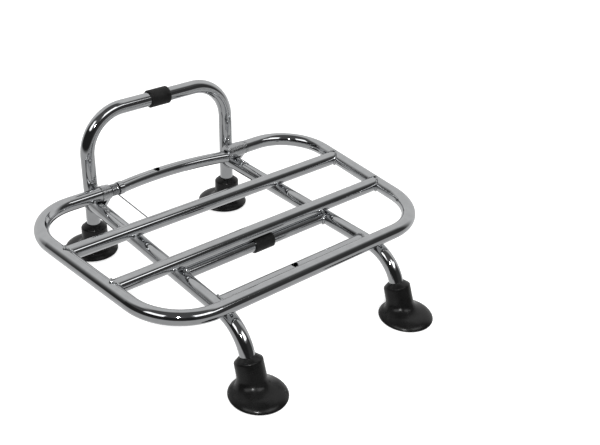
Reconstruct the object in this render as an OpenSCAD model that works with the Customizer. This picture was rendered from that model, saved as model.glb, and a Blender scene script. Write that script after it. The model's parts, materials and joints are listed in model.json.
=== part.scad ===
// Folding luggage rack of chromed steel tube: a fixed frame on four rubber feet,
// and a tray that swings up on two hinge pins and leans against the rear hoop.
// X runs along the hinge, Y from the front of the tray to the hoop, Z is up.
// All millimetres.

/* [Tubes] */
// Outer diameter of the main tubes: tray, hoop and side rails
tube_d = 16; // [14:0.5:18]
// Outer diameter of the three cross tubes of the fixed frame
cross_d = 14; // [12:0.5:15]
// Wall of every tube
tube_wall = 1.5; // [1:0.1:2]
// Gap left in a coped joint, closed by the weld
weld_gap = 0.05; // [0:0.01:0.1]

/* [Tray] */
// Width of the tray along the hinge line, between tube centres
tray_rear_w = 396; // [380:1:420]
// Width of the tray along its front, between tube centres
tray_front_w = 362; // [340:1:376]
// Depth of the tray from the hinge to the front tube, between centres
tray_depth = 250; // [245:1:262]
// Straight stretch of the tray tube between its end at the hinge and its corner
end_straight = 21.8; // [18:0.1:30]
// Bend radius of the two front corners
front_corner_r = 62; // [50:1:68]
// Distance of the rear bar from the hinge
rear_bar_y = 84.5; // [80:0.5:90]
// Distance of the front bar from the hinge
front_bar_y = 161; // [150:1:168]

/* [Hoop] */
// Distance between the centres of the two hoop legs
hoop_w = 196; // [180:1:210]
// Height of the hoop's top tube above the hinge
hoop_h = 86.5; // [84:0.5:92]
// Bend radius of the hoop's two top corners
hoop_corner_r = 48; // [36:1:56]
// Lean of the hoop to the rear, in degrees
hoop_lean = 5.6; // [3:0.1:7]
// Clearance between the turning tray tube and the hoop leg behind it
hoop_clear = 1; // [0.6:0.1:2]

/* [Side rails] */
// Widening of the rails towards the front, in degrees each side
rail_splay = 1.7; // [0:0.1:2.5]
// Distance from the hinge at which the rails start to bend down
rail_straight = 233.4; // [228:0.2:240]
// Bend radius of the front legs
leg_bend_r = 47; // [42:1:56]
// Angle through which the front legs bend down, in degrees
leg_bend = 67; // [60:1:75]

/* [Cross tubes] */
// Distance of the front cross tube from the hinge
front_cross_y = 223; // [205:1:226]
// Bow of the rear cross tube to the rear at its middle
rear_cross_bow = 7; // [4:0.1:8]
// Fall of the rear cross tube towards its right end
rear_cross_fall = 5; // [0:0.1:6]
// Diameter of the bolt holes in the front and rear cross tubes
bolt_hole_d = 8; // [6:0.1:9]
// Offset of the rear bolt hole from the middle of the rack
rear_hole_x = -15; // [-24:1:0]

/* [Rubber] */
// Wall of the two rubber sleeves
sleeve_wall = 2.2; // [1.5:0.1:3]
// Length of the sleeves
sleeve_l = 26; // [18:1:40]
// Offset of the sleeve under the tray from the middle of the rack
lower_sleeve_x = 7; // [-10:1:10]
// Clearance of a sleeve on its tube
sleeve_fit = 0.1; // [0.05:0.05:0.3]
// Gap between the tray's bars and the sleeves they come to rest on
rest_gap = 0.3; // [0.2:0.1:0.5]
// Height of the hinge above the floor
hinge_h = 81.5; // [79:0.5:88]
// Radius of a foot's cup
foot_r = 30.5; // [28:0.5:34]
// Thickness of the cup at its rim
foot_rim = 3; // [2.5:0.1:4]
// Height of the hollow under the cup
cup_h = 6; // [3:0.5:7]
// Radius of the hollow under the cup
cup_r = 27; // [24:0.5:28]
// Height of the cup's crown, where it meets the collar
foot_dome = 8.5; // [7.5:0.5:12]
// Radius of the collar at its foot
collar_r = 15.2; // [14:0.1:17]
// Radius of the collar at its shoulder
collar_top_r = 14.8; // [13:0.1:16]
// Height of the chamfer on top of the collar
collar_chamfer = 4.5; // [3:0.5:6]
// Wall of rubber left round the tube at the collar's mouth
collar_lip = 1.4; // [1:0.1:2.5]
// Depth of the tube in a foot
socket_l = 16; // [12:0.5:18]
// Shift of a front foot's cup to the front of its leg
front_foot_shift = 5; // [2:0.5:6]
// Shift of a rear foot's cup to the rear of its leg
rear_foot_shift = 10; // [6:1:12]

/* [Hinge] */
// Diameter of the two hinge pins
pin_d = 8; // [7:0.5:8.5]
// Radial running clearance on the pins
pin_clear = 0.05; // [0.02:0.01:0.08]
// How far a bearing bush ends short of the tray tube's corner
bush_short = 1.8; // [1:0.1:4]
// How far a hinge pin ends short of its bearing bush
pin_short = 2; // [0:0.5:4]
// Length of the left hinge boss
left_boss_l = 6.5; // [5:0.5:9]
// Length of the right hinge boss inboard of the leg's outer side
right_boss_l = 20; // [17:0.5:22]
// Thickness of the ear plates
ear_t = 4; // [3:0.5:5]
// Radius of an ear plate round the pin
ear_r = 8.5; // [8:0.25:10]
// Radius of an ear plate's other corners
ear_end_r = 4; // [3:0.25:5]
// Distance behind the pin of each ear plate's lower front corner, to its centre
ear_back = 6; // [2:0.5:8]
// Distance below the pin of the corner where each ear plate leaves its leg
ear_drop = 6; // [3:0.5:9]
// Thickness of the washers
washer_t = 1.6; // [1:0.1:2]
// Outer diameter of the washers
washer_d = 16.4; // [14:0.1:18]
// Clearance between neighbouring pieces along the pin
side_gap = 0.3; // [0.2:0.05:0.5]
// Diameter of the spring seat's flange
seat_d = 15.4; // [14:0.1:17]
// Length of the spring seat's flange
seat_l = 6; // [4:0.5:8]
// Length of the spring seat's plug inside the rear cross tube
plug_l = 4; // [3:0.5:5]

/* [Spring] */
// Diameter of the spring wire
wire_d = 1.5; // [1.2:0.1:1.6]
// Mean diameter of the coil
coil_d = 12.4; // [12:0.1:13]
// Number of turns
coil_turns = 5.5; // [4.5:1:6.5]
// Distance between neighbouring turns
coil_pitch = 1.7; // [1.65:0.05:2]
// Length of the leg past the rear bar
leg_past = 0.5; // [0:0.5:6]

/* [Hidden] */

$fn = 72;
CHROME = "lightsteelblue";
STEEL = "silver";
RUBBER = "#1c1c1e";
LEFT = -1;
RIGHT = 1;
over = 1;
seam = 0.02;

tube_r = tube_d / 2;
tube_bore = tube_r - tube_wall;
cross_r = cross_d / 2;
pin_r = pin_d / 2;

// Heights of the tubes below and beside the hinge line
rail_drop = tube_r + rest_gap + sleeve_wall + cross_r;
boss_r = tube_r + hoop_clear;
hoop_back = (tube_r + boss_r) / cos(hoop_lean);
leg_x = hoop_w / 2;
rail_start = hoop_back - rail_drop * tan(hoop_lean);

// Side tubes of the tray: their slant, and the cut of each corner from its sharp point
side_slant = atan((tray_rear_w - tray_front_w) / 2 / tray_depth);
rear_turn = 90 + side_slant;
front_turn = 90 - side_slant;
front_cut = front_corner_r * tan(front_turn / 2);

bush_l = end_straight - bush_short;
pin_reach = bush_l - pin_short;

// Stations along the hinge, from the middle of the rack outwards on each side
left_ear_x = -(leg_x - tube_r);
left_boss_x = left_ear_x - left_boss_l;
loop_left_x = left_boss_x - side_gap;
left_washer_x = left_ear_x + ear_t;
coil_x = left_washer_x + washer_t + side_gap + wire_d / 2;
coil_end_x = coil_x + coil_turns * coil_pitch;
seat_x = coil_end_x + wire_d / 2 + side_gap;
rear_tube_x0 = seat_x + seat_l;
right_ear_x = leg_x + tube_r;
right_boss_x = right_ear_x - right_boss_l;
rear_tube_x1 = right_boss_x - washer_t;
right_washer_x = right_ear_x + ear_t + side_gap;
right_outer_x = right_washer_x + washer_t + side_gap;
loop_right_x = right_outer_x + washer_t + side_gap;

// The rear corners fill what is left between the straight ends and the sides
rear_cut = tray_rear_w / 2 - loop_right_x - end_straight;
rear_corner_r = rear_cut / tan(rear_turn / 2);
side_l = tray_depth / cos(side_slant) - rear_cut - front_cut;

// Front legs: where the bend ends, seen from the side
bend_end_y = -(rail_straight + leg_bend_r * sin(leg_bend));
bend_end_z = -(rail_drop + leg_bend_r * (1 - cos(leg_bend)));
front_lean = 90 - leg_bend;
front_reach = rail_start - bend_end_y + (hinge_h + bend_end_z) * tan(front_lean) + front_foot_shift;
front_foot_y = rail_start - front_reach * cos(rail_splay);
rear_leg_y = hoop_back - hinge_h * tan(hoop_lean);
rear_foot_y = rear_leg_y + rear_foot_shift;

// The collar's mouth lies where the front leg's bend ends, and all collars are alike
collar_l = (hinge_h + bend_end_z) / cos(front_lean);

// The rack stands on the floor, with the origin under the middle of its outline
stand_y = (foot_r - front_foot_y - foot_r - rear_foot_y) / 2;

module placed() { translate([0, stand_y, hinge_h]) children(); }

// A bent tube or wire, drawn along X and turning in the XY plane. Each step is a
// straight stretch [length] or a bend [radius, angle]; a positive angle turns left.
// In a tube each stretch meets its bends through a hidden liner inside the wall.
module run(steps, r, bore = 0, i = 0) {
    if (i < len(steps)) {
        s = steps[i];
        if (len(s) == 1) {
            cut0 = bore > 0 && i > 0 ? seam : 0;
            cut1 = bore > 0 && i < len(steps) - 1 ? seam : 0;
            translate([cut0, 0, 0]) rotate([0, 90, 0]) linear_extrude(s[0] - cut0 - cut1) ring(r, bore);
            if (cut0 > 0) liner(0, r, bore);
            if (cut1 > 0) liner(s[0], r, bore);
            translate([s[0], 0, 0]) run(steps, r, bore, i + 1);
        } else {
            side = sign(s[1]);
            translate([0, side * s[0], 0]) {
                rotate([0, 0, side > 0 ? -90 : 90 + s[1]])
                    rotate_extrude(angle = abs(s[1])) translate([s[0], 0]) ring(r, bore);
                rotate([0, 0, s[1]]) translate([0, -side * s[0], 0]) run(steps, r, bore, i + 1);
            }
        }
    }
}

module ring(r, bore) {
    difference() {
        circle(r = r);
        if (bore > 0) circle(r = bore);
    }
}

module liner(x, r, bore) {
    translate([x - 0.5, 0, 0]) rotate([0, 90, 0]) linear_extrude(1) ring(r - 0.1, bore - 0.05);
}

module tube_x(x0, x1, r, wall) {
    translate([x0, 0, 0]) rotate([0, 90, 0]) difference() {
        cylinder(r = r, h = x1 - x0);
        translate([0, 0, -over]) cylinder(r = r - wall, h = x1 - x0 + 2 * over);
    }
}

module ring_x(x0, l, r, bore, chamfer = 0) {
    translate([x0, 0, 0]) rotate([0, 90, 0]) rotate_extrude()
        polygon([[bore, 0], [r - chamfer, 0], [r, chamfer], [r, l - chamfer],
                 [r - chamfer, l], [bore, l]]);
}

// Space taken by the tray's side tube on one side
module tray_side_space(side) {
    translate([side * tray_rear_w / 2, 0, 0]) rotate([0, 0, -side * side_slant])
        rotate([90, 0, 0]) cylinder(r = tube_r + weld_gap, h = tray_depth / cos(side_slant));
}

// Space taken by a hoop leg, and by a side rail's straight stretch
module leg_space(side) {
    translate([side * leg_x, hoop_back, 0]) rotate([-hoop_lean, 0, 0])
        cylinder(r = tube_r + weld_gap, h = 2 * hinge_h, center = true);
}

// Runs along a rail, starting on the axis of its hoop leg
module along_rail(side) {
    translate([side * leg_x, rail_start, -rail_drop]) rotate([0, 0, -90 + side * rail_splay])
        children();
}

module rail_space(side) {
    along_rail(side) rotate([0, 90, 0])
        cylinder(r = tube_r + weld_gap, h = rail_straight + rail_start);
}

module tray_loop() {
    steps = [[end_straight], [rear_corner_r, -rear_turn],
             [side_l], [front_corner_r, -front_turn],
             [tray_front_w - 2 * front_cut], [front_corner_r, -front_turn],
             [side_l], [rear_corner_r, -rear_turn],
             [tray_rear_w / 2 - rear_cut + loop_left_x]];
    color(CHROME) placed() translate([loop_right_x, 0, 0])
        run(steps, tube_r, tube_bore, $fn = 48);
}

module tray_bar(y) {
    half = tray_rear_w / 2 - y * tan(side_slant);
    color(CHROME) placed() difference() {
        translate([0, -y, 0]) tube_x(-half, half, tube_r, tube_wall);
        for (side = [LEFT, RIGHT]) tray_side_space(side);
    }
}

module bearing_bush(x0) {
    color(STEEL) placed() ring_x(x0, bush_l, tube_bore, pin_r + pin_clear);
}

module hoop() {
    leg_top = hoop_h / cos(hoop_lean) - hoop_corner_r;
    leg_low = leg_bottom();
    steps = [[leg_top + leg_low], [hoop_corner_r, -90], [hoop_w - 2 * hoop_corner_r],
             [hoop_corner_r, -90], [leg_top + leg_low]];
    color(CHROME) placed() translate([0, hoop_back, 0]) rotate([90 - hoop_lean, 0, 0])
        translate([-leg_x, -leg_low, 0]) rotate([0, 0, 90]) run(steps, tube_r, tube_bore);
}

// Length of a hoop leg below the hinge, measured along the leg
function leg_bottom() = hinge_h / cos(hoop_lean) - collar_l + socket_l;

module sleeve(x, r) {
    ring_x(x - sleeve_l / 2, sleeve_l, r + sleeve_wall, r + sleeve_fit / 2, 0.6);
}

module hoop_sleeve() {
    color(RUBBER) placed()
        translate([0, hoop_back + hoop_h * tan(hoop_lean), hoop_h]) sleeve(0, tube_r);
}

module rail(side) {
    steps = [[rail_straight + rail_start], [leg_bend_r, -leg_bend], [socket_l]];
    color(CHROME) placed() difference() {
        along_rail(side) rotate([90, 0, 0]) run(steps, tube_r, tube_bore);
        leg_space(side);
    }
}

// A cross tube between the two rails, coped to them
module cross_tube(y) {
    half = leg_x + (rail_start + y) * tan(rail_splay);
    difference() {
        translate([0, -y, -rail_drop]) tube_x(-half, half, cross_r, tube_wall);
        for (side = [LEFT, RIGHT]) rail_space(side);
    }
}

module bolt_hole() { cylinder(d = bolt_hole_d, h = 2 * cross_d, center = true); }

module front_cross_tube() {
    color(CHROME) placed() difference() {
        cross_tube(front_cross_y);
        translate([0, -front_cross_y, -rail_drop]) bolt_hole();
    }
}

module middle_cross_tube() { color(CHROME) placed() cross_tube(front_bar_y); }

module middle_sleeve() {
    color(RUBBER) placed() translate([0, -front_bar_y, -rail_drop]) sleeve(lower_sleeve_x, cross_r);
}

// The rear cross tube is one shallow arc, bowed to the rear
span = rear_tube_x1 - rear_tube_x0;
bow_r = (span * span / 4 + rear_cross_bow * rear_cross_bow) / (2 * rear_cross_bow);
bow_angle = 2 * asin(span / 2 / bow_r);
bow_x = (rear_tube_x0 + rear_tube_x1) / 2;
fall = asin(rear_cross_fall / span);
rear_hole_y = sqrt(pow(bow_r, 2) - pow(rear_hole_x - bow_x, 2)) - bow_r + rear_cross_bow;
rear_hole_z = -(rear_hole_x - rear_tube_x0) * tan(fall);

module bow(r, extra) {
    a = bow_angle + 2 * extra;
    translate([0, rear_cross_bow - bow_r, 0]) rotate([0, 0, 90 - a / 2])
        rotate_extrude(angle = a, $fn = 720) translate([bow_r, 0]) circle(r = r, $fn = 72);
}

module rear_cross_tube() {
    color(CHROME) placed() difference() {
        intersection() {
            translate([rear_tube_x0, 0, 0]) rotate([0, fall, 0]) translate([span / 2, 0, 0])
                difference() {
                    bow(cross_r, 2);
                    bow(cross_r - tube_wall, 3);
                }
            translate([rear_tube_x0, -tube_d * 2, -tube_d * 2])
                cube([span, tube_d * 4, tube_d * 4]);
        }
        translate([rear_hole_x, rear_hole_y, rear_hole_z]) bolt_hole();
    }
}

module boss(x0, l) {
    color(CHROME) placed() difference() {
        ring_x(x0, l, boss_r, pin_r + pin_clear, 0.5);
        for (side = [LEFT, RIGHT]) leg_space(side);
    }
}

// Ends of the straight side between two round corners [x, y, radius], kept just
// inside both circles so that side and corner overlap
function side_between(p, q) =
    let (d = [q[0] - p[0], q[1] - p[1]], a = atan2(d[1], d[0]) - acos((p[2] - q[2]) / norm(d)),
         n = 0.98 * [cos(a), sin(a)])
    [[p[0] + p[2] * n[0], p[1] + p[2] * n[1]], [q[0] + q[2] * n[0], q[1] + q[2] * n[1]]];

module rounded_outline(corners) {
    last = len(corners) - 1;
    polygon([for (i = [0 : last]) each side_between(corners[i], corners[i == last ? 0 : i + 1])]);
    for (c = corners) translate([c[0], c[1]]) circle(r = c[2]);
}

// An ear plate is welded flat on the side of a leg and a rail, and holds the pin.
// Its outline is drawn with Y to the right and Z up.
module ear_plate(x0) {
    rear = hoop_back - ear_end_r;
    corners = [[0, 0, ear_r], [ear_back, -rail_drop, ear_end_r],
               [rear, -rail_drop, ear_end_r], [rear, -ear_drop, ear_end_r]];
    color(CHROME) placed() difference() {
        translate([x0, 0, 0]) rotate([90, 0, 90]) linear_extrude(ear_t) difference() {
            rounded_outline(corners);
            circle(r = pin_r + pin_clear);
        }
        for (side = [LEFT, RIGHT]) {
            leg_space(side);
            rail_space(side);
        }
    }
}

module pin(x0, x1) {
    color(STEEL) placed() translate([x0, 0, 0]) rotate([0, 90, 0]) rotate_extrude()
        polygon([[0, 0], [pin_r - 0.6, 0], [pin_r, 0.6], [pin_r, x1 - x0 - 0.6],
                 [pin_r - 0.6, x1 - x0], [0, x1 - x0]]);
}

module washer(x0) {
    color(STEEL) placed() ring_x(x0, washer_t, washer_d / 2, pin_r + 4 * pin_clear, 0.2);
}

// The spring seat is a turned plug: its flange stops the coil, and its plug fits the tube
module spring_seat() {
    color(CHROME) placed() {
        ring_x(seat_x, seat_l, seat_d / 2, pin_r + pin_clear, 0.5);
        ring_x(rear_tube_x0, plug_l, cross_r - tube_wall - 0.7, pin_r + pin_clear);
    }
}

// Centre line of the spring's wire: the coil, then the leg that leaves it on a
// tangent and lies under the rear bar
coil_r = coil_d / 2;
leg_z = tube_r + rest_gap + wire_d / 2;
leg_fall = atan(leg_z / rear_bar_y) - asin(coil_r / norm([rear_bar_y, leg_z]));
leg_end_y = rear_bar_y + leg_past;
rings_per_turn = 16;
coil_angles = [for (k = [0 : rings_per_turn * coil_turns - 1]) k * 360 / rings_per_turn];
spring_path = concat(
    [for (a = coil_angles) [coil_x + coil_pitch * a / 360, coil_r * sin(a), coil_r * cos(a)]],
    [[coil_end_x, coil_r * sin(leg_fall), -coil_r * cos(leg_fall)],
     [coil_end_x, -leg_end_y, -coil_r / cos(leg_fall) - leg_end_y * tan(leg_fall)]]);

function unit(v) = v / norm(v);
function heading(path, i) =
    let (last = len(path) - 1,
         before = i > 0 ? unit(path[i] - path[i - 1]) : [0, 0, 0],
         after = i < last ? unit(path[i + 1] - path[i]) : [0, 0, 0])
    unit(before + after);

// A round section of the wire, square to the path, as a ring of points
function section(path, i, r, sides) =
    let (h = heading(path, i), u = unit(cross(h, [1, 0, 0])), v = cross(h, u))
    [for (k = [0 : sides - 1])
        path[i] + r * (cos(360 * k / sides) * u + sin(360 * k / sides) * v)];

module wire(path, r, sides = 8) {
    last = len(path) - 1;
    points = [for (i = [0 : last]) each section(path, i, r, sides)];
    walls = [for (i = [0 : last - 1], k = [0 : sides - 1])
        let (next = (k + 1) % sides)
        [i * sides + k, i * sides + next, (i + 1) * sides + next, (i + 1) * sides + k]];
    start = [for (k = [sides - 1 : -1 : 0]) k];
    end = [for (k = [0 : sides - 1]) last * sides + k];
    polyhedron(points, concat(walls, [start, end]));
}

module torsion_spring() {
    color(STEEL) placed() wire(spring_path, wire_d / 2);
}

// Outline of the cup: a thick-edged dome that rises to the collar, over a hollow
cup_floor = [for (k = [0 : 6]) let (r = cup_r * k / 6) [r, cup_h * (1 - pow(k / 6, 2))]];

module cup() {
    crown = [for (a = [0 : 15 : 90])
        [collar_r + (foot_r - collar_r) * cos(a), foot_rim + (foot_dome - foot_rim) * pow(sin(a), 1.3)]];
    rotate_extrude() polygon(concat(cup_floor, [[foot_r - 0.8, 0], [foot_r, 0.8]], crown,
                                    [[0, foot_dome]]));
}

// A foot stands at the origin. Its collar's axis passes through the floor at
// [0, -shift], and leans back from the upright by the angle lean.
module foot(lean, shift) {
    shoulder = collar_l - collar_chamfer;
    difference() {
        union() {
            cup();
            translate([0, -shift, 0]) rotate([-lean, 0, 0]) rotate_extrude()
                polygon([[0, 0], [collar_r, 0], [collar_top_r, shoulder],
                         [tube_r + collar_lip, collar_l], [0, collar_l]]);
        }
        translate([0, -shift, 0]) rotate([-lean, 0, 0])
            translate([0, 0, collar_l - socket_l]) cylinder(r = tube_r, h = socket_l + over);
        rotate_extrude() polygon(concat(cup_floor,
            [[foot_r + collar_r, 0], [foot_r + collar_r, -foot_r], [0, -foot_r]]));
    }
}

module front_foot(side) {
    color(RUBBER) placed() translate([side * leg_x, rail_start, -hinge_h])
        rotate([0, 0, side * rail_splay]) translate([0, -front_reach, 0])
            foot(front_lean, -front_foot_shift);
}

module rear_foot(side) {
    color(RUBBER) placed() translate([side * leg_x, rear_foot_y, -hinge_h])
        foot(hoop_lean, rear_foot_shift);
}

tray_loop();
tray_bar(rear_bar_y);  // tray_rear_bar
tray_bar(front_bar_y);  // tray_front_bar
bearing_bush(loop_left_x - bush_l);  // left_bearing_bush
bearing_bush(loop_right_x);  // right_bearing_bush
torsion_spring();
hoop();
hoop_sleeve();
rail(LEFT);  // left_rail
rail(RIGHT);  // right_rail
front_cross_tube();
middle_cross_tube();
middle_sleeve();
rear_cross_tube();
boss(left_boss_x, left_boss_l);  // left_hinge_boss
boss(right_boss_x, right_boss_l);  // right_hinge_boss
ear_plate(left_ear_x);  // left_ear_plate
ear_plate(right_ear_x);  // right_ear_plate
pin(loop_left_x - pin_reach, rear_tube_x0 + plug_l);  // left_hinge_pin
pin(right_boss_x, loop_right_x + pin_reach);  // right_hinge_pin
washer(left_washer_x);  // left_washer
spring_seat();
washer(rear_tube_x1);  // right_inner_washer
washer(right_washer_x);  // right_middle_washer
washer(right_outer_x);  // right_outer_washer
front_foot(LEFT);  // front_left_foot
front_foot(RIGHT);  // front_right_foot
rear_foot(LEFT);  // rear_left_foot
rear_foot(RIGHT);  // rear_right_foot
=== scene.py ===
import json
import math
import random

import bmesh
import bpy
from mathutils import Matrix, Vector


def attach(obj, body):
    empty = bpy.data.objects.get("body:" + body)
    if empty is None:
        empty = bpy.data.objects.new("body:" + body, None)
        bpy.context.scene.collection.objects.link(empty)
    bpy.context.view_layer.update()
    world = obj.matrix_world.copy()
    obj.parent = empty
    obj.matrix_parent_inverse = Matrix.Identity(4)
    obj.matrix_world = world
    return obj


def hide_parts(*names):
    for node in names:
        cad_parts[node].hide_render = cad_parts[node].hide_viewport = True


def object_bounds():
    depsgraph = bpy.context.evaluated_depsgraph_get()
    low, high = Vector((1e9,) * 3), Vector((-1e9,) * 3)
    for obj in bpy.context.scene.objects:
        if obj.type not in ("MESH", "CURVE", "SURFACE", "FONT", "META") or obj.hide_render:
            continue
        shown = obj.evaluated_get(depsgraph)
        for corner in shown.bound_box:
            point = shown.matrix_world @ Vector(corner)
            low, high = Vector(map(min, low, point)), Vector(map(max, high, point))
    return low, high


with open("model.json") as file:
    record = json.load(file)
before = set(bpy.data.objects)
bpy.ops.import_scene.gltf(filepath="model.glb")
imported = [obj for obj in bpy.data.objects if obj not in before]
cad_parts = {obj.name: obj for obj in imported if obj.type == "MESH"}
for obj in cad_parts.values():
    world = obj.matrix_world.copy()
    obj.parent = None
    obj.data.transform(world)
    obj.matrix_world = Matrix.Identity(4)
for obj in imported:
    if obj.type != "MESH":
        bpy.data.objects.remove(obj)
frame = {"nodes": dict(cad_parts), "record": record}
cad_lo, cad_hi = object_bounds()

MM = 0.001
TAU = 2 * math.pi
scene = bpy.context.scene
scene.view_settings.view_transform = "Standard"
nodes = frame["nodes"]
record = frame["record"]

# Sizes of the solids, as in the part's source, in millimetres from the hinge's middle
HINGE = Vector(record["behaviour"]["joints"][0]["pos_m"])
HINGE_H = HINGE.z / MM
TUBE_R = 8.0
CROSS_R = 7.0
LEG_X = 98.0
HOOP_LEAN = math.radians(5.6)
HOOP_BACK = 17.0 / math.cos(HOOP_LEAN)
RAIL_DROP = 17.5
RAIL_SPLAY = math.radians(1.7)
RAIL_START = HOOP_BACK - RAIL_DROP * math.tan(HOOP_LEAN)
TRAY_REAR_HALF = 198.0
TRAY_FRONT_HALF = 181.0
TRAY_DEPTH = 250.0
REAR_BAR_Y = 84.5
FRONT_BAR_Y = 161.0
FRONT_CROSS_Y = 223.0
LEG_LEAN = math.radians(90 - 67)

SIDES = ((-1, "left"), (1, "right"))
UP = Vector((0, 0, 1))


def at(x, y, z):
    """A point given in millimetres from the middle of the hinge, in the row frame's metres."""
    return HINGE + Vector((x, y, z)) * MM


# Materials

GREY_SPAN = (0.35, 0.65)
ROUGH_SPAN = (0.3, 0.7)


def new_material(name):
    material = bpy.data.materials.new(name)
    material.use_nodes = True
    tree = material.node_tree
    return material, tree, tree.nodes["Principled BSDF"]


def noise(tree, scale, detail=3.0):
    """The factor of a noise texture in the object's own metres."""
    coords = tree.nodes.new("ShaderNodeTexCoord")
    texture = tree.nodes.new("ShaderNodeTexNoise")
    texture.inputs["Scale"].default_value = scale
    texture.inputs["Detail"].default_value = detail
    tree.links.new(coords.outputs["Object"], texture.inputs["Vector"])
    return texture.outputs["Fac"]


def remap(tree, value, low, high, span=ROUGH_SPAN):
    """The span of a value, stretched evenly to run from low to high."""
    node = tree.nodes.new("ShaderNodeMapRange")
    node.inputs["From Min"].default_value = span[0]
    node.inputs["From Max"].default_value = span[1]
    node.inputs["To Min"].default_value = low
    node.inputs["To Max"].default_value = high
    tree.links.new(value, node.inputs["Value"])
    return node.outputs["Result"]


def mottle(tree, value, dark, light):
    ramp = tree.nodes.new("ShaderNodeValToRGB")
    for element, position, colour in zip(ramp.color_ramp.elements, GREY_SPAN, (dark, light)):
        element.position = position
        element.color = (*colour, 1)
    tree.links.new(value, ramp.inputs["Fac"])
    return ramp.outputs["Color"]


def bump(tree, shader, value, strength, distance):
    node = tree.nodes.new("ShaderNodeBump")
    node.inputs["Strength"].default_value = strength
    node.inputs["Distance"].default_value = distance
    tree.links.new(value, node.inputs["Height"])
    tree.links.new(node.outputs["Normal"], shader.inputs["Normal"])


def metal(name, dark, light, rough_low, rough_high, grain, ripple, ripple_scale):
    """Plated metal whose tone and gloss vary over a grain, with a ripple in its surface."""
    material, tree, shader = new_material(name)
    shader.inputs["Metallic"].default_value = 1.0
    fine = noise(tree, grain)
    tree.links.new(mottle(tree, fine, dark, light), shader.inputs["Base Color"])
    tree.links.new(remap(tree, fine, rough_low, rough_high), shader.inputs["Roughness"])
    bump(tree, shader, noise(tree, ripple_scale, detail=1.0), ripple, 0.001)
    return material


def black_rubber(name, dark, light, rough_low, rough_high, grain_bump):
    material, tree, shader = new_material(name)
    shader.inputs["Specular IOR Level"].default_value = 0.32
    broad = noise(tree, 70, detail=4.0)
    tree.links.new(mottle(tree, broad, dark, light), shader.inputs["Base Color"])
    tree.links.new(remap(tree, noise(tree, 160), rough_low, rough_high), shader.inputs["Roughness"])
    bump(tree, shader, noise(tree, 1600, detail=2.0), grain_bump, 0.0003)
    return material


chrome = metal("polished_chrome", (0.58, 0.59, 0.60), (0.62, 0.63, 0.64), 0.035, 0.06, 90, 0.012, 30)
weld_chrome = metal("plated_weld", (0.50, 0.51, 0.52), (0.62, 0.63, 0.64), 0.08, 0.2, 700, 0.35, 900)
plate_chrome = metal("plated_plate", (0.55, 0.56, 0.57), (0.62, 0.63, 0.64), 0.2, 0.32, 300, 0.1, 200)
zinc = metal("zinc_steel", (0.52, 0.53, 0.54), (0.64, 0.65, 0.66), 0.16, 0.3, 900, 0.08, 500)
spring_metal = metal("spring_steel", (0.42, 0.43, 0.44), (0.56, 0.57, 0.58), 0.12, 0.22, 800, 0.05, 600)
foot_rubber = black_rubber("moulded_rubber", (0.005, 0.005, 0.005), (0.009, 0.009, 0.009), 0.19, 0.28, 0.05)
sleeve_rubber = black_rubber("sleeve_rubber", (0.005, 0.005, 0.005), (0.011, 0.011, 0.011), 0.4, 0.6, 0.5)

BY_SLOT = {"chrome": chrome, "zinc_steel": zinc, "spring_steel": spring_metal, "rubber": foot_rubber}
OWN = {"hoop_sleeve": sleeve_rubber, "middle_sleeve": sleeve_rubber,
       "left_ear_plate": plate_chrome, "right_ear_plate": plate_chrome,
       "left_hinge_boss": plate_chrome, "right_hinge_boss": plate_chrome}
for part in record["subparts"]:
    node = nodes[part["node"]]
    material = OWN.get(part["node"], BY_SLOT[part["material_slot"]])
    if not node.material_slots:
        node.data.materials.append(material)
    for slot in node.material_slots:
        slot.material = material


# Swept pieces: the weld beads and the spring

def finish_piece(name, mesh, material, body):
    """A mesh that is done, as an object that rides on a body."""
    bmesh.ops.recalc_face_normals(mesh, faces=mesh.faces)
    data = bpy.data.meshes.new(name)
    mesh.to_mesh(data)
    mesh.free()
    data.materials.append(material)
    piece = bpy.data.objects.new(name, data)
    scene.collection.objects.link(piece)
    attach(piece, body)
    return piece


def sweep(name, points, radii, material, body, closed=False, sides=10):
    """A round section swept along points (in metres), with a radius at each point."""
    mesh = bmesh.new()
    count = len(points)
    rings = []
    side = None
    for i, point in enumerate(points):
        before = points[(i - 1) % count] if closed or i > 0 else point
        after = points[(i + 1) % count] if closed or i < count - 1 else point
        heading = (after - before).normalized()
        if side is None:
            side = heading.orthogonal().normalized()
        side = (side - heading * side.dot(heading)).normalized()
        up = heading.cross(side)
        rings.append([mesh.verts.new(point + radii[i] * (math.cos(a) * side + math.sin(a) * up))
                      for a in (TAU * k / sides for k in range(sides))])
    for low, high in zip(rings, rings[1:]):
        for k in range(sides):
            n = (k + 1) % sides
            mesh.faces.new((low[k], low[n], high[n], high[k]))
    if closed:
        low, high = rings[-1], rings[0]
        turn = min(range(sides), key=lambda s: (low[0].co - high[s].co).length)
        for k in range(sides):
            n = (k + 1) % sides
            mesh.faces.new((low[k], low[n], high[(n + turn) % sides], high[(k + turn) % sides]))
    else:
        mesh.faces.new(reversed(rings[0]))
        mesh.faces.new(rings[-1])
    for face in mesh.faces:
        face.smooth = True
    return finish_piece(name, mesh, material, body)


RIPPLE_LENGTH = 1.5
RIPPLE_HEIGHT = 0.13
RIPPLE_JITTER = 0.05
END_TAPER = 0.4


def bead(name, points, body, radius, seed, closed=False):
    """A plated weld: a bead with the even ripples that each dip of the filler leaves."""
    rng = random.Random(seed)
    travelled = 0.0
    radii = []
    for i, point in enumerate(points):
        if i:
            travelled += (point - points[i - 1]).length / MM
        wave = RIPPLE_HEIGHT * math.cos(TAU * travelled / RIPPLE_LENGTH)
        radii.append(radius * MM * (1 + wave + rng.uniform(-RIPPLE_JITTER, RIPPLE_JITTER)))
    if not closed:
        radii[0] *= END_TAPER
        radii[-1] *= END_TAPER
    sweep(name, points, radii, weld_chrome, body, closed)


SADDLE_POINTS = 72
BEAD_RISE = 0.35


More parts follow.
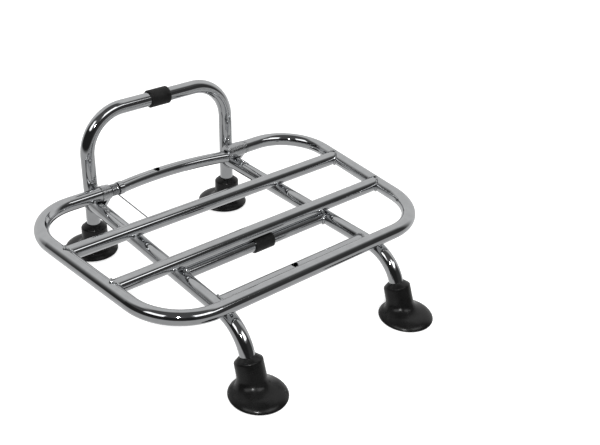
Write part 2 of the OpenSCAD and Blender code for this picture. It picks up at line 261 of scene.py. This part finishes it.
def saddle(end_point, end_dir, end_r, side_point, side_dir, side_r):
    """Where a round tube ends on the side of another one, in millimetres from the hinge."""
    end_dir, side_dir = end_dir.normalized(), side_dir.normalized()
    u = end_dir.orthogonal().normalized()
    v = end_dir.cross(u)
    curve = []
    for k in range(SADDLE_POINTS):
        a = TAU * k / SADDLE_POINTS
        out = math.cos(a) * u + math.sin(a) * v
        p = end_point + end_r * out - side_point
        q = p - side_dir * p.dot(side_dir)
        d = end_dir - side_dir * end_dir.dot(side_dir)
        b, c = q.dot(d), q.dot(q) - side_r ** 2
        root = max(b * b - d.dot(d) * c, 0.0)
        t = (-b - math.sqrt(root)) / d.dot(d)
        on = end_point + end_r * out + end_dir * t
        radial = on - side_point
        radial = (radial - side_dir * radial.dot(side_dir)).normalized()
        curve.append(at(*(on + BEAD_RISE * (out + radial))))
    return curve


SIDE_SLANT = math.atan((TRAY_REAR_HALF - TRAY_FRONT_HALF) / TRAY_DEPTH)
RAIL_END_GUIDE = 60
for side, word in SIDES:
    across = Vector((side, 0, 0))
    loop_point = Vector((side * TRAY_REAR_HALF, 0, 0))
    loop_dir = Vector((-side * math.sin(SIDE_SLANT), -math.cos(SIDE_SLANT), 0))
    for name, y in (("rear_bar", REAR_BAR_Y), ("front_bar", FRONT_BAR_Y)):
        curve = saddle(Vector((0, -y, 0)), across, TUBE_R, loop_point, loop_dir, TUBE_R)
        bead(f"weld_{name}_{word}", curve, "tray", 1.1, int(y) + side, closed=True)
    rail_point = Vector((side * LEG_X, RAIL_START, -RAIL_DROP))
    rail_dir = Vector((side * math.sin(RAIL_SPLAY), -math.cos(RAIL_SPLAY), 0))
    for name, y in (("front_cross", FRONT_CROSS_Y), ("middle_cross", FRONT_BAR_Y)):
        curve = saddle(Vector((0, -y, -RAIL_DROP)), across, CROSS_R, rail_point, rail_dir, TUBE_R)
        bead(f"weld_{name}_{word}", curve, "frame", 1.2, int(y) + 7 + side, closed=True)
    leg_point = Vector((side * LEG_X, HOOP_BACK, 0))
    leg_dir = Vector((0, math.sin(HOOP_LEAN), math.cos(HOOP_LEAN)))
    curve = saddle(rail_point + RAIL_END_GUIDE * rail_dir, -rail_dir, TUBE_R, leg_point, leg_dir, TUBE_R)
    bead(f"weld_rail_{word}", curve, "frame", 1.3, 40 + side, closed=True)


def line_bead(name, start, stop, radius, seed, spacing=0.25):
    """A straight weld between two points given in millimetres from the hinge."""
    start, stop = Vector(start), Vector(stop)
    count = max(int((stop - start).length / spacing), 4)
    points = [at(*start.lerp(stop, k / count)) for k in range(count + 1)]
    bead(name, points, "frame", radius, seed)


# Each ear plate is welded up along its leg and along the rail, and each boss to its leg
LEG_FRONT = HOOP_BACK - TUBE_R
RAIL_TOP = TUBE_R - RAIL_DROP
LEAN = math.tan(HOOP_LEAN)
for side, word in SIDES:
    x = side * LEG_X
    line_bead(f"weld_leg_{word}", (x - side * 2, LEG_FRONT - 0.7 + 5 * LEAN, 6.5),
              (x - side, LEG_FRONT + 0.3 + 17 * LEAN, 16), 2.2, 60 + side)
    line_bead(f"weld_toe_{word}", (x + side * 1.5, -5.5, RAIL_TOP - 0.4),
              (x + side * 2.5, -25, RAIL_TOP - 0.8), 1.9, 70 + side)
    line_bead(f"weld_boss_{word}", (x - 6.5, LEG_FRONT - 0.8, -4.2),
              (x + 6.5, LEG_FRONT - 0.8, -4.2), 1.8, 80 + side)


# The spring, as smooth round wire: the coil, then the leg that lies under the rear bar
WIRE_R = 0.75
COIL_R = 6.2
COIL_X = -83.35
COIL_PITCH = 1.7
COIL_TURNS = 5.5
LEG_PAST = 0.5
LEG_GAP = 0.3
STEPS_PER_TURN = 32
LEG_STEPS = 40
leg_z = TUBE_R + LEG_GAP + WIRE_R
leg_fall = math.atan(leg_z / REAR_BAR_Y) - math.asin(COIL_R / math.hypot(REAR_BAR_Y, leg_z))
leg_end = REAR_BAR_Y + LEG_PAST
coil_end = COIL_X + COIL_TURNS * COIL_PITCH
wire = []
for k in range(int(STEPS_PER_TURN * COIL_TURNS)):
    a = TAU * k / STEPS_PER_TURN
    wire.append(at(COIL_X + COIL_PITCH * a / TAU, COIL_R * math.sin(a), COIL_R * math.cos(a)))
leg_start = Vector((coil_end, COIL_R * math.sin(leg_fall), -COIL_R * math.cos(leg_fall)))
leg_stop = Vector((coil_end, -leg_end, -COIL_R / math.cos(leg_fall) - leg_end * math.tan(leg_fall)))
wire += [at(*leg_start.lerp(leg_stop, k / LEG_STEPS)) for k in range(LEG_STEPS + 1)]
spring = sweep("spring_wire", wire, [WIRE_R * MM] * len(wire), spring_metal,
               "tray", sides=14)
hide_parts("torsion_spring")


# Feet: one moulding each, whose collar flows into the cup

FOOT_R = 30.5
CUP_EDGE = 1.2
CUP_CROWN = 8.5
CUP_POWER = 0.72
HOLLOW_R = 27.0
HOLLOW_H = 6.0
COLLAR_R = 15.2
COLLAR_TOP_R = 14.8
COLLAR_L = 38.42
COLLAR_CHAMFER = 4.5
SHOULDER = COLLAR_L - COLLAR_CHAMFER
SOCKET_L = 16.0
MOUTH_R = TUBE_R + 1.4
AXIS_R = 0.01
FILLET = 10.0
RIM_BAND = 4.5
FLOW_STEPS = 12
FOOT_SIDES = 120
# Shares of the way from the end of the flow to the rim
CROWN_SHARES = (0.15, 0.3, 0.45, 0.6, 0.72, 0.82, 0.9, 0.96, 0.99, 1)
# Radius and height, along the collar's own axis, from the socket's floor to the shoulder
COLLAR_TOP = [(AXIS_R, COLLAR_L - SOCKET_L), (TUBE_R, COLLAR_L - SOCKET_L),
              (TUBE_R, COLLAR_L - 0.5), (TUBE_R + 0.3, COLLAR_L - 0.1),
              (MOUTH_R - 0.4, COLLAR_L), (MOUTH_R + 0.3, COLLAR_L - 0.3),
              (COLLAR_TOP_R - 0.9, SHOULDER + 0.8), (COLLAR_TOP_R - 0.25, SHOULDER + 0.1),
              (COLLAR_TOP_R, SHOULDER - 0.8)]
# Radius and height from the rim to the middle of the hollow underneath
UNDERSIDE = [(FOOT_R - 0.25, 0.45), (FOOT_R - 0.8, 0.0), (HOLLOW_R, 0.0)]
UNDERSIDE += [(HOLLOW_R * k / 6, HOLLOW_H * (1 - (k / 6) ** 2)) for k in (5, 4, 3, 2, 1)]
UNDERSIDE += [(AXIS_R, HOLLOW_H)]


def cup_height(r):
    """Height of the cup's crown over the floor at a distance from the cup's middle."""
    out = min(max(r - COLLAR_R, 0) / (FOOT_R - COLLAR_R), 1)
    return CUP_EDGE + (CUP_CROWN - CUP_EDGE) * (1 - out * out) ** CUP_POWER


def flow(start, crease, out):
    """Points of the curve that leads from the collar past the crease to the cup's crown."""
    reach = FILLET
    while (crease + out * reach).xy.length > FOOT_R - RIM_BAND and reach > 2:
        reach -= 0.1
    end = crease + out * reach
    radius = end.xy.length
    end.z = cup_height(radius)
    slope = (cup_height(radius + 0.05) - cup_height(radius - 0.05)) / 0.1
    slope *= out.xy.dot(end.xy) / radius
    first = start.lerp(crease, 0.6)
    second = end - 0.55 * reach * (out + slope * UP)
    curve = []
    for j in range(FLOW_STEPS + 1):
        t = j / FLOW_STEPS
        u = 1 - t
        curve.append(u ** 3 * start + 3 * u * u * t * first + 3 * u * t * t * second + t ** 3 * end)
    return curve


def foot(node, turn, lean, shift, centre):
    """A foot that stands at centre; its collar leans and meets the floor shift from the cup."""
    axis = Vector((0, math.sin(lean), math.cos(lean)))
    across = Vector((0, math.cos(lean), -math.sin(lean)))
    base = Vector((0, -shift, 0))
    mesh = bmesh.new()
    rings = []
    for k in range(FOOT_SIDES):
        a = TAU * k / FOOT_SIDES
        around = math.cos(a) * Vector((1, 0, 0)) + math.sin(a) * across

        def on_collar(h):
            r = COLLAR_R + (COLLAR_TOP_R - COLLAR_R) * h / SHOULDER
            return base + h * axis + r * around

        # The crease is where the collar's side would enter the crown
        low, high = -10.0, SHOULDER
        for _ in range(30):
            h = (low + high) / 2
            if on_collar(h).z > cup_height(on_collar(h).xy.length):
                high = h
            else:
                low = h
        out = around.copy()
        out.z = 0
        out.normalize()
        points = [base + height * axis + radius * around for radius, height in COLLAR_TOP]
        flow_top = h + FILLET
        points += [on_collar(flow_top + (SHOULDER - 2 - flow_top) * u) for u in (1, 0.6, 0.3)]
        points += flow(on_collar(flow_top), on_collar(h), out)
        start = points[-1].xy.length
        radial = points[-1].xy.normalized().to_3d()
        for share in CROWN_SHARES:
            r = start + (FOOT_R - start) * share
            points.append(radial * r + cup_height(r) * UP)
        points += [radial * radius + height * UP for radius, height in UNDERSIDE]
        rings.append([mesh.verts.new(p) for p in points])
    for k in range(FOOT_SIDES):
        here, there = rings[k], rings[(k + 1) % FOOT_SIDES]
        for j in range(len(here) - 1):
            mesh.faces.new((here[j], here[j + 1], there[j + 1], there[j])).smooth = True
    mesh.faces.new([ring[0] for ring in rings])
    mesh.faces.new([ring[-1] for ring in reversed(rings)])
    mesh.transform(Matrix.Translation(at(*centre)) @ Matrix.Rotation(turn, 4, "Z") @ Matrix.Scale(MM, 4))
    piece = finish_piece(f"moulded_{node}", mesh, foot_rubber, "frame")
    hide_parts(node)


FRONT_SHIFT = -5.0
REAR_SHIFT = 10.0
FRONT_REACH = 312.04
REAR_FOOT_Y = HOOP_BACK - HINGE_H * math.tan(HOOP_LEAN) + REAR_SHIFT
for side, word in SIDES:
    front = (side * (LEG_X + FRONT_REACH * math.sin(RAIL_SPLAY)),
             RAIL_START - FRONT_REACH * math.cos(RAIL_SPLAY), -HINGE_H)
    foot(f"front_{word}_foot", side * RAIL_SPLAY, LEG_LEAN, FRONT_SHIFT, front)
    foot(f"rear_{word}_foot", 0.0, HOOP_LEAN, REAR_SHIFT, (side * LEG_X, REAR_FOOT_Y, -HINGE_H))


# Floor

FLOOR_HALF = 15.0
FLOOR_GLOW = 0.45
mesh = bpy.data.meshes.new("floor")
corners = [(-1, -1), (1, -1), (1, 1), (-1, 1)]
mesh.from_pydata([(x * FLOOR_HALF, y * FLOOR_HALF, 0) for x, y in corners], [], [(0, 1, 2, 3)])
floor = bpy.data.objects.new("floor", mesh)
floor.location = (0, 0, cad_lo.z - 0.0002)
scene.collection.objects.link(floor)
floor.visible_glossy = False
floor_material, tree, shader = new_material("pale_floor")
shader.inputs["Roughness"].default_value = 0.9
shader.inputs["Specular IOR Level"].default_value = 0.0
shader.inputs["Emission Color"].default_value = (1, 1, 1, 1)
tone = mottle(tree, noise(tree, 3.0), (0.93, 0.93, 0.93), (0.95, 0.95, 0.95))
tree.links.new(tone, shader.inputs["Base Color"])
paths = tree.nodes.new("ShaderNodeLightPath")
glow = remap(tree, paths.outputs["Is Camera Ray"], 0.0, FLOOR_GLOW, span=(0.0, 1.0))
tree.links.new(glow, shader.inputs["Emission Strength"])
floor.data.materials.append(floor_material)


# World: white for the camera. What the chrome reflects is a studio: a pale sweep behind the
# rack and to its sides, a dark room behind the camera, a floor, and bright windows.

CAMERA_BACK = Vector((-0.5914, -0.8179, 0)).normalized()
CAMERA_LEFT = Vector((CAMERA_BACK.y, -CAMERA_BACK.x, 0))
world = bpy.data.worlds.new("studio")
scene.world = world
world.use_nodes = True
tree = world.node_tree
background = tree.nodes["Background"]
coords = tree.nodes.new("ShaderNodeTexCoord")
split = tree.nodes.new("ShaderNodeSeparateXYZ")
tree.links.new(coords.outputs["Generated"], split.inputs["Vector"])
height = split.outputs["Z"]


def smooth(value, start, stop):
    """A factor that rises smoothly from 0 at start to 1 at stop; start may be the larger."""
    node = tree.nodes.new("ShaderNodeMapRange")
    node.interpolation_type = "SMOOTHSTEP"
    node.inputs["From Min"].default_value = start
    node.inputs["From Max"].default_value = stop
    tree.links.new(value, node.inputs["Value"])
    return node.outputs["Result"]


def math_node(operation, first, second):
    node = tree.nodes.new("ShaderNodeMath")
    node.operation = operation
    tree.links.new(first, node.inputs[0])
    tree.links.new(second, node.inputs[1])
    return node.outputs["Value"]


def along(direction):
    node = tree.nodes.new("ShaderNodeVectorMath")
    node.operation = "DOT_PRODUCT"
    node.inputs[1].default_value = direction
    tree.links.new(coords.outputs["Generated"], node.inputs[0])
    return node.outputs["Value"]


def mix_colour(factor, first, second):
    """First where the factor is 0 and second where it is 1; each a grey number or an output."""
    node = tree.nodes.new("ShaderNodeMix")
    node.data_type = "RGBA"
    tree.links.new(factor, node.inputs[0])
    for socket, value in ((node.inputs[6], first), (node.inputs[7], second)):
        if isinstance(value, (int, float)):
            socket.default_value = (value, value, value, 1)
        else:
            tree.links.new(value, socket)
    return node.outputs[2]


# The compass angle from the camera's side, in radians, positive to the camera's left
compass = math_node("ARCTAN2", along(CAMERA_LEFT), along(CAMERA_BACK))


def compass_smooth(start, stop):
    return smooth(compass, math.radians(start), math.radians(stop))


def window(left, right, bottom, top, soft=0.05):
    """A factor of one in a window between two compass angles in degrees and two heights."""
    across = math_node("MULTIPLY", smooth(compass, math.radians(left), math.radians(left) + soft),
                       smooth(compass, math.radians(right), math.radians(right) - soft))
    upright = math_node("MULTIPLY", smooth(height, bottom, bottom + soft),
                        smooth(height, top, top - soft))
    return math_node("MULTIPLY", across, upright)


# The tones of the studio; a window is brighter than 1
ROOM_RIGHT, ROOM_MIDDLE = 0.045, 0.02
ROOM_ABOVE = 0.085
WINDOW_GLOW = 0.25
FLOOR_TONE = 0.45
CEILING = 0.09
SWEEP = 0.64
RIGHT_WINDOW, SIDE_WINDOW, LEFT_WINDOW = 2.2, 2.2, 1.9
DIFFUSE_LIGHT = 0.62

room = mix_colour(smooth(compass, -0.9, -0.2), ROOM_RIGHT, ROOM_MIDDLE)
room = mix_colour(smooth(height, 0.5, 0.62), room, ROOM_ABOVE)
room = mix_colour(window(-70, -18, 0.5, 0.9, 0.1), room, WINDOW_GLOW)
room = mix_colour(smooth(height, -0.04, -0.22), room, FLOOR_TONE)
room = mix_colour(smooth(height, 0.80, 0.87), room, CEILING)
behind = math_node("MAXIMUM", compass_smooth(90, 124), compass_smooth(-90, -122))
below_ceiling = smooth(height, 0.95, 0.88)
studio = mix_colour(math_node("MULTIPLY", behind, below_ceiling), room, SWEEP)
studio = mix_colour(window(-64, -24, 0.58, 0.84), studio, RIGHT_WINDOW)
studio = mix_colour(window(-79, -58, 0.60, 0.72, 0.03), studio, SIDE_WINDOW)
studio = mix_colour(window(26, 64, 0.54, 0.84), studio, LEFT_WINDOW)
paths = tree.nodes.new("ShaderNodeLightPath")
soft = mix_colour(paths.outputs["Is Glossy Ray"], DIFFUSE_LIGHT, studio)
seen = mix_colour(paths.outputs["Is Camera Ray"], soft, 1.0)
tree.links.new(seen, background.inputs["Color"])


# Lights and camera

def area_light(name, location, target, size, power):
    light = bpy.data.lights.new(name, "AREA")
    light.energy = power
    light.size = size
    lamp = bpy.data.objects.new(name, light)
    lamp.location = location
    lamp.rotation_euler = (Vector(target) - Vector(location)).to_track_quat("-Z", "Y").to_euler()
    scene.collection.objects.link(lamp)
    return lamp


overhead = area_light("overhead", (0.3, -0.2, 2.2), (0, 0, 0), 1.6, 22)
overhead.visible_glossy = False
area_light("flash", (-1.106, -1.272, 1.414), (0, 0, 0.05), 0.12, 12)

camera_data = bpy.data.cameras.new("camera")
camera_data.sensor_width = 36
camera_data.lens = 58.15
camera_data.clip_start = 0.01
camera = bpy.data.objects.new("camera", camera_data)
camera.location = HINGE + Vector((-0.6001, -0.8249, 0.5576))
camera.rotation_euler = [math.radians(v) for v in (58.619, -4.493, -42.282)]
scene.collection.objects.link(camera)
scene.camera = camera
